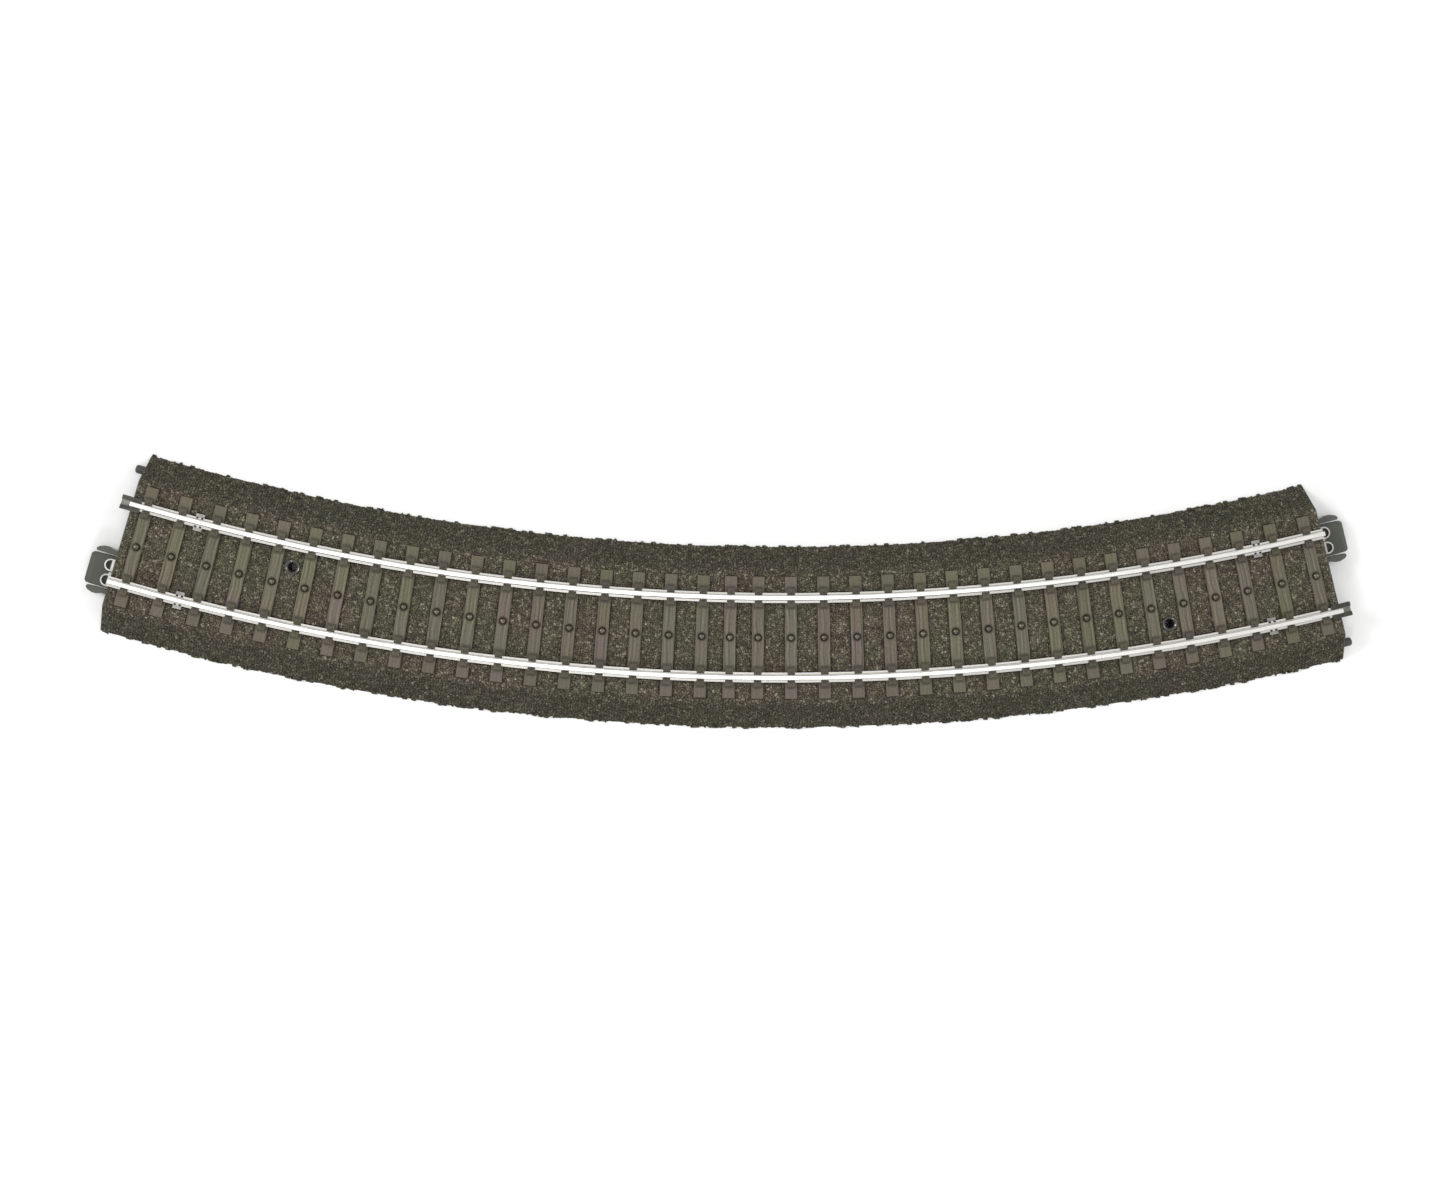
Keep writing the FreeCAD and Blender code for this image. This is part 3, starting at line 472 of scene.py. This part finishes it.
def ballast_piece(name, start, stop):
    """A stretch of ballast, from one angle to another. Its edges are tucked into the bed."""
    step = 0.17
    walk, side, height, out, up = bed_lines(step)
    rows = int((stop - start) * DEGREE / step)
    angle = np.linspace(start, stop, rows)
    angle_grid, walk_grid = np.meshgrid(angle, walk, indexing="ij")
    along = angle_grid * DEGREE
    slope = np.abs(walk_grid) > CROWN_HALF + 0.25 * np.sin(along * 2.3) + 0.2 * np.sin(along * 5.1)
    relief, shade = ballast_height(along, walk_grid, slope)
    # Larger lumps make the foot's outline uneven.
    foot = smoothstep(2.0, 0.0, height)
    lumps = stones(along, walk_grid, 0.95, 43)[1][..., 2]
    relief = np.clip(relief, LOWEST, 0.6) * (1 - 0.5 * foot) + foot * np.clip(lumps - 0.4, 0, 1)
    side_grid = np.broadcast_to(side, relief.shape)
    # The end faces are clean, so the stones end just short of them.
    edge = (TURN / 2 - np.abs(angle_grid)) * DEGREE
    relief = relief * smoothstep(0.0, 0.35, edge) + SUNK * (edge < 0.02)
    relief, gone = clearings(angle_grid, side_grid, relief)
    # Painted shade darkens the ballast along the rails and against the sleepers.
    shade = shade * painted_shade(angle, side_grid)
    points = on_track(angle_grid, side_grid + relief * out, height + relief * up)
    points[..., 2] = np.maximum(points[..., 2], 0.05)
    # A last row at each foot drops to the ground and tucks under.
    feet = []
    for index, way in ((0, -1), (-1, 1)):
        rim = np.abs(side_grid[:, index] + relief[:, index] * out[index])
        feet.append([on_track(angle, way * rim, 0.0), on_track(angle, way * (rim - 0.5), 0.02)])
    left, right = [[row[:, None] for row in foot_rows] for foot_rows in feet]
    points = np.concatenate([left[1], left[0], points, right[0], right[1]], axis=1)
    pad = ((0, 0), (2, 2))
    shade, gone = np.pad(shade, pad, mode="edge"), np.pad(gone, pad)
    side_all = np.pad(side_grid, pad, mode="edge")
    keep = ~(gone[:-1, :-1] & gone[1:, 1:])
    crown = smoothstep(CROWN_HALF + 1.6, CROWN_HALF - 1.5, np.abs(side_all))[..., None]
    tint = np.array(SLOPE_TINT) * (1 - crown) + np.array(CROWN_TINT) * crown
    tint = np.clip(shade, 0.12, 2.4)[..., None] * tint
    rows, columns = shade.shape
    faces = grid_faces(rows, columns, keep)
    mesh_piece(
        name, points.reshape(-1, 3), faces, "track", BALLAST,
        smooth=False, tint=tint.reshape(-1, 3),
    )


STRETCHES = 5
for stretch in range(STRETCHES):
    first = -TURN / 2 + TURN * stretch / STRETCHES
    ballast_piece(f"ballast_{stretch + 1}", first, first + TURN / STRETCHES)


# ---------------------------------------------------------------- sleepers and rail fastenings


def wander(values, chance, count, low, high):
    """Random values along a line, drawn straight between count random knots."""
    knots = chance.random(count) * (high - low) + low
    place = np.linspace(0, 1, count)
    return np.interp(values, place, knots)


def sleeper_mesh(angle, chance):
    """One sleeper's top and sides, with grooves of wood grain that are deepest between the rails
    and a bare patch where the stud comes through. Its sides, the seats beside the rails and a ring
    round the stud are painted darker as shade."""
    u = np.concatenate([[-1.0], np.linspace(-1, 1, 23), [1.0]]) * SLEEPER_HALF
    v = np.concatenate([[-1.0], np.linspace(-1, 1, 150), [1.0]]) * SLEEPER_REACH
    grid_u, grid_v = np.meshgrid(u, v, indexing="ij")
    share = (grid_v / SLEEPER_REACH + 1) / 2
    drift = wander(share, chance, 9, -0.22, 0.22)
    grain = np.zeros(grid_u.shape)
    for waves, strength in ((2.1, 0.4), (3.7, 0.6), (6.4, 0.35)):
        phase = chance.random() * 6.3
        swell = wander(share, chance, 14, 0.2, 1.0)
        grain += strength * swell * np.cos(waves * (grid_u + drift) * 2.1 + phase)
    middle = smoothstep(6.6, 6.0, np.abs(grid_v))
    height = SLEEPER_TOP + (0.05 + 0.05 * grain) * (0.35 + 0.65 * middle)
    # Rounded edges, then the sides.
    edge = np.minimum(SLEEPER_HALF - np.abs(grid_u), SLEEPER_REACH - np.abs(grid_v))
    height -= 0.03 * (1 - smoothstep(0.0, 0.12, edge))
    sides = np.zeros(grid_u.shape, bool)
    sides[[0, -1], :] = True
    sides[:, [0, -1]] = True
    height = np.where(sides, DECK - 0.1, height)
    gone = np.hypot(grid_u, grid_v) < STUD_HOLE
    keep = ~(gone[:-1, :-1] | gone[1:, 1:] | gone[1:, :-1] | gone[:-1, 1:])
    points = beside(angle, grid_u, grid_v, height)
    # Paint in two hues that take turns, olive and plum, meeting somewhere along some sleepers.
    olive, plum = np.array((0.134, 0.124, 0.080)), np.array((0.141, 0.122, 0.098))
    lean = chance.random()
    meet = chance.random() * 16 - 8
    mixed = np.full(share.shape, lean)
    if chance.random() < 0.5:
        mixed = smoothstep(-1.5, 1.5, grid_v - meet)
    mixed = np.clip(mixed, 0.05, 0.95)[..., None]
    outer = smoothstep(SEAT_OUTER - 0.4, SEAT_OUTER, np.abs(grid_v))[..., None]
    seat = smoothstep(SEAT_INNER - 0.25, SEAT_INNER, np.abs(grid_v))[..., None] * (1 - outer)
    colour = olive * (1 - mixed) + plum * mixed
    # The seats beside the rails are painted darker as shade, and the ends beyond them a little
    # darker.
    colour = colour * (1 - 0.05 * outer - 0.2 * seat) * (0.92 + 0.16 * chance.random())
    groove = 0.86 + 0.46 * np.clip(grain, -1, 1) * (0.3 + 0.7 * middle)
    # The sides are painted dark as shade.
    colour = colour * np.where(sides, 0.45, groove)[..., None]
    # A ring round the stud's hole is painted dark as shade.
    stud_shade = 1 - 0.35 * (1 - smoothstep(0.95, 1.25, np.hypot(grid_u, grid_v)))[..., None]
    colour = colour * stud_shade
    faces = grid_faces(*grid_u.shape, keep)
    return points.reshape(-1, 3), faces, colour.reshape(-1, 3)


def rounded_block(low, high, bevel):
    """A block with rounded upright edges and a rounded top edge, as (along, side, height) rings."""
    steps = 3
    (x0, y0, z0), (x1, y1, z1) = low, high
    levels = [(z0, 0.0)]
    for k in range(steps + 1):
        turn = math.pi / 2 * k / steps
        levels.append((z1 - bevel + bevel * math.sin(turn), bevel * (1 - math.cos(turn))))
    rings = []
    for height, inset in levels:
        ring = []
        corners = ((x1, y1, 0), (x0, y1, 1), (x0, y0, 2), (x1, y0, 3))
        for cx, cy, quarter in corners:
            sx, sy = (1 if cx == x1 else -1), (1 if cy == y1 else -1)
            for k in range(steps + 1):
                turn = math.pi / 2 * (quarter + k / steps)
                reach = max(bevel - inset, 0.001)
                ring.append((
                    cx - sx * (inset + reach) + reach * math.cos(turn),
                    cy - sy * (inset + reach) + reach * math.sin(turn),
                    height,
                ))
        rings.append(np.array(ring))
    return loft(rings)


def chair_parts():
    """One side of a rail's fastening, for a rail at side 0 and its outer half: the plate's wing,
    the clip over the foot, a rib beside it, and a coach screw's square head."""
    plate = rounded_block((-0.84, 1.12, 7.6), (0.84, 2.55, 8.04), 0.08)
    clip = rounded_block((-0.83, 0.72, 8.42), (0.83, 2.0, 8.79), 0.12)
    heel = rounded_block((-0.83, 1.15, 7.9), (0.83, 2.0, 8.62), 0.05)
    screw = rounded_block((-0.27, 1.22, 8.7), (0.27, 1.72, 9.02), 0.09)
    washer_profile = [(0.42, 8.7), (0.42, 8.84), (0.36, 8.88), (0.0, 8.88)]
    washer = lathe(np.array((0, 1.47, 0)), washer_profile, 14)
    return joined([plate, clip, heel, screw, washer])


chance = np.random.default_rng(7)
timber_parts, timber_tints = [], []
for angle in SLEEPER_ANGLES:
    points, faces, colour = sleeper_mesh(angle, chance)
    timber_parts.append((points, faces))
    timber_tints.append(colour)
points, faces = joined(timber_parts)
mesh_piece(
    "sleepers", points, faces, "track", TIMBER,
    tint=np.concatenate(timber_tints),
)

template, template_faces = chair_parts()
chair_pieces, chair_tints = [], []
for number, angle in enumerate(SLEEPER_ANGLES):
    hue = np.median(timber_tints[number], axis=0) * 0.9
    for rail in (-RAIL_SIDE, RAIL_SIDE):
        for way in (-1, 1):
            placed = beside(angle, template[:, 0], rail + way * template[:, 1], template[:, 2])
            turned = template_faces if way > 0 else [face[::-1] for face in template_faces]
            chair_pieces.append((placed, turned))
            shade = 0.74 + 0.26 * smoothstep(8.0, 8.8, template[:, 2])
            chair_tints.append(shade[:, None] * hue * (0.9 + 0.2 * chance.random()))
points, faces = joined(chair_pieces)
mesh_piece(
    "rail_fastenings", points, faces, "track", TIMBER,
    smooth=False, tint=np.concatenate(chair_tints),
)

# A raised lip runs round each stud's hole.
lip = [(0.80, 7.4), (0.80, 7.93), (0.83, 7.975), (0.88, 7.985), (0.94, 7.97), (1.02, 7.9)]
points, faces = joined([lathe(on_track(angle, 0, 0), lip, 32) for angle in SLEEPER_ANGLES])
# The lip's dark tint is painted shade round the stud.
mesh_piece(
    "stud_rims", points, faces, "track", TIMBER,
    tint=np.array((0.080, 0.072, 0.052)),
)


# ---------------------------------------------------------------- studs


def stud_strip():
    """The domed studs and the band under the deck that carries them."""
    parts = []
    dome = [(0.0, 8.75), (0.12, 8.745), (0.25, 8.715), (0.38, 8.665), (0.5, 8.59), (0.6, 8.5),
            (0.68, 8.4), (0.735, 8.28), (0.75, 8.15), (0.75, 5.8)]
    for angle in SLEEPER_ANGLES:
        parts.append(lathe(on_track(angle, 0, 0), dome[::-1], 30))
    half = 1.4
    band = np.array([(-half, 5.6), (half, 5.6), (half, 5.9), (-half, 5.9)])
    ends = TURN / 2 - 2.1 / DEGREE
    rings = [on_track(a, band[:, 0], band[:, 1]) for a in np.linspace(-ends, ends, 200)]
    parts.append(loft(rings))
    points, faces = joined(parts)
    piece = mesh_piece("stud_strip_pressed", points, faces, "track", STUD_STEEL)
    piece.data.set_sharp_from_angle(angle=math.radians(40))
    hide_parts("stud_strip")


stud_strip()


# ---------------------------------------------------------------- finish of the CAD parts


def soften(piece, bevel, segments):
    """Rounds a piece's sharp edges, by a width in millimetres."""
    edges = piece.modifiers.new("soften", "BEVEL")
    edges.width = bevel * MM
    edges.segments = segments
    edges.limit_method = "ANGLE"
    edges.angle_limit = math.radians(32)


def dress(node, material, bevel=0.0, segments=2):
    """A better finish for a CAD node, with softened edges."""
    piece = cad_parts[node]
    piece.data.materials.clear()
    piece.data.materials.append(material)
    if bevel:
        soften(piece, bevel, segments)


dress("roadbed", MOULDED)
dress("inner_rail", RAIL_STEEL, 0.08, 3)
dress("outer_rail", RAIL_STEEL, 0.08, 3)
for word in ENDS:
    dress(f"joiner_{word}", JOINER, 0.06)
    dress(f"rail_bond_{word}", BOND, 0.04)
    dress(f"rail_contact_{word}", TINNED, 0.05)
    dress(f"centre_contact_{word}", TINNED, 0.05)
    for place in ("near", "far"):
        dress(f"latch_{word}_{place}", LATCH, 0.14, 3)


def plug_skin(end, name):
    """The tongue's moulded skin, which lies just over the bed's own: its nose slopes down. Places
    are (out from the end face, in from the tongue's flank, height)."""
    near, far, nose, under, top = 3.47, 10.53, 6.03, 1.17, 4.23
    corner, slope = 0.5, 1.1
    shelf = nose - corner - slope * math.sqrt(2)
    inner = corner + slope * (math.sqrt(2) - 1)
    half = [(-0.2, 0, top), (shelf, 0, top), (nose - slope, inner, top)]
    half += [(nose - corner, 0, top - slope), (nose, corner, top - slope)]
    half += [(-0.2, 0, under), (nose - corner, 0, under), (nose, corner, under)]
    spots = [(out, near + into, height) for out, into, height in half]
    spots += [(out, far - into, height) for out, into, height in half]
    out, side, height = np.array(spots).T
    points = beside(end * TURN / 2, out * end, -side * end, height)
    shell = bmesh.new()
    for point in points * MM:
        shell.verts.new(point)
    bmesh.ops.convex_hull(shell, input=shell.verts)
    bmesh.ops.dissolve_limit(
        shell, angle_limit=math.radians(1), verts=shell.verts, edges=shell.edges
    )
    shell.verts.index_update()
    faces = [[vertex.index for vertex in face.verts] for face in shell.faces]
    points = np.array([vertex.co for vertex in shell.verts]) / MM
    shell.free()
    piece = mesh_piece(name, points, faces, "track", PLUG, smooth=False)
    soften(piece, 0.16, 3)


for word, end in ENDS.items():
    plug_skin(end, f"tongue_skin_{word}")


def screw_rim(angle, side, name):
    """The glossy, sunk mouth of a fixing hole, which lies just over the bed's own collar."""
    place = on_track(angle, side, 0)
    profile = [(0.93, 6.2), (0.94, 7.35), (0.97, 7.45), (1.1, 7.56), (1.25, 7.655), (1.4, 7.735),
               (1.5, 7.77), (1.56, 7.78), (1.62, 7.75), (SCREW_RIM, 7.62), (SCREW_RIM, 7.0)]
    points, faces = lathe(place, profile, 48)
    mesh_piece(name, points, faces, "track", RIM)


for word, (angle, side) in zip(ENDS, SCREWS):
    screw_rim(angle, side, f"screw_rim_{word}")


# ---------------------------------------------------------------- stage, light and camera


def area_light(name, place, target, size, power):
    """A rectangular light, with places and sizes in metres and power in watts."""
    data = bpy.data.lights.new(name, "AREA")
    data.shape = "RECTANGLE"
    data.size, data.size_y = size
    data.energy = power
    lamp = bpy.data.objects.new(name, data)
    lamp.location = place
    aim = Vector(target) - Vector(place)
    lamp.rotation_euler = aim.to_track_quat("-Z", "Y").to_euler()
    bpy.context.scene.collection.objects.link(lamp)


def floor():
    """A sheet of pale paper, just below the ground."""
    mesh = bpy.data.meshes.new("floor")
    half = 1.5
    corners = [(-half, -half, 0), (half, -half, 0), (half, half, 0), (-half, half, 0)]
    mesh.from_pydata(corners, [], [(0, 1, 2, 3)])
    look = Look("paper")
    grain = look.noise(300, detail=3)
    look.set(Base_Color=look.ramp(grain, [(0.3, (0.92, 0.92, 0.915)), (0.7, (0.95, 0.95, 0.945))]))
    look.set(Roughness=0.9)
    mesh.materials.append(look.material)
    piece = bpy.data.objects.new("floor", mesh)
    piece.location.z = -0.00002
    bpy.context.scene.collection.objects.link(piece)


floor()
world = bpy.data.worlds.new("studio")
world.use_nodes = True
sky = world.node_tree.nodes["Background"]
sky.inputs["Color"].default_value = (1, 1, 1, 1)
sky.inputs["Strength"].default_value = 0.66
bpy.context.scene.world = world
area_light("key", (-0.8, 0.25, 0.8), (0, 0, 0), (0.3, 0.3), 4.3)
area_light("fill", (0.8, 0.25, 0.8), (0, 0, 0), (0.3, 0.3), 2.3)
area_light("front", (-0.1, -0.8, 0.75), (0, 0, 0), (0.17, 0.17), 1.5)
area_light("overhead", (-0.07, 0, 1.0), (-0.07, 0, 0), (0.5, 0.7), 1.7)

bpy.context.scene.view_settings.view_transform = "Standard"
camera_data = bpy.data.cameras.new("camera")
camera_data.sensor_width = 36
camera_data.lens = 70.56
camera_data.clip_start = 0.01
camera = bpy.data.objects.new("camera", camera_data)
# The camera looks almost straight down. Its turn is an axis times an angle in radians.
turn = Vector((0.0090, 0.0455, -0.0239))
camera.matrix_world = Matrix.Translation(Vector((-30.18, 13.30, 629.5)) * MM) @ (
    Matrix.Rotation(turn.length, 4, turn.normalized()).transposed()
)
bpy.context.scene.collection.objects.link(camera)
bpy.context.scene.camera = camera
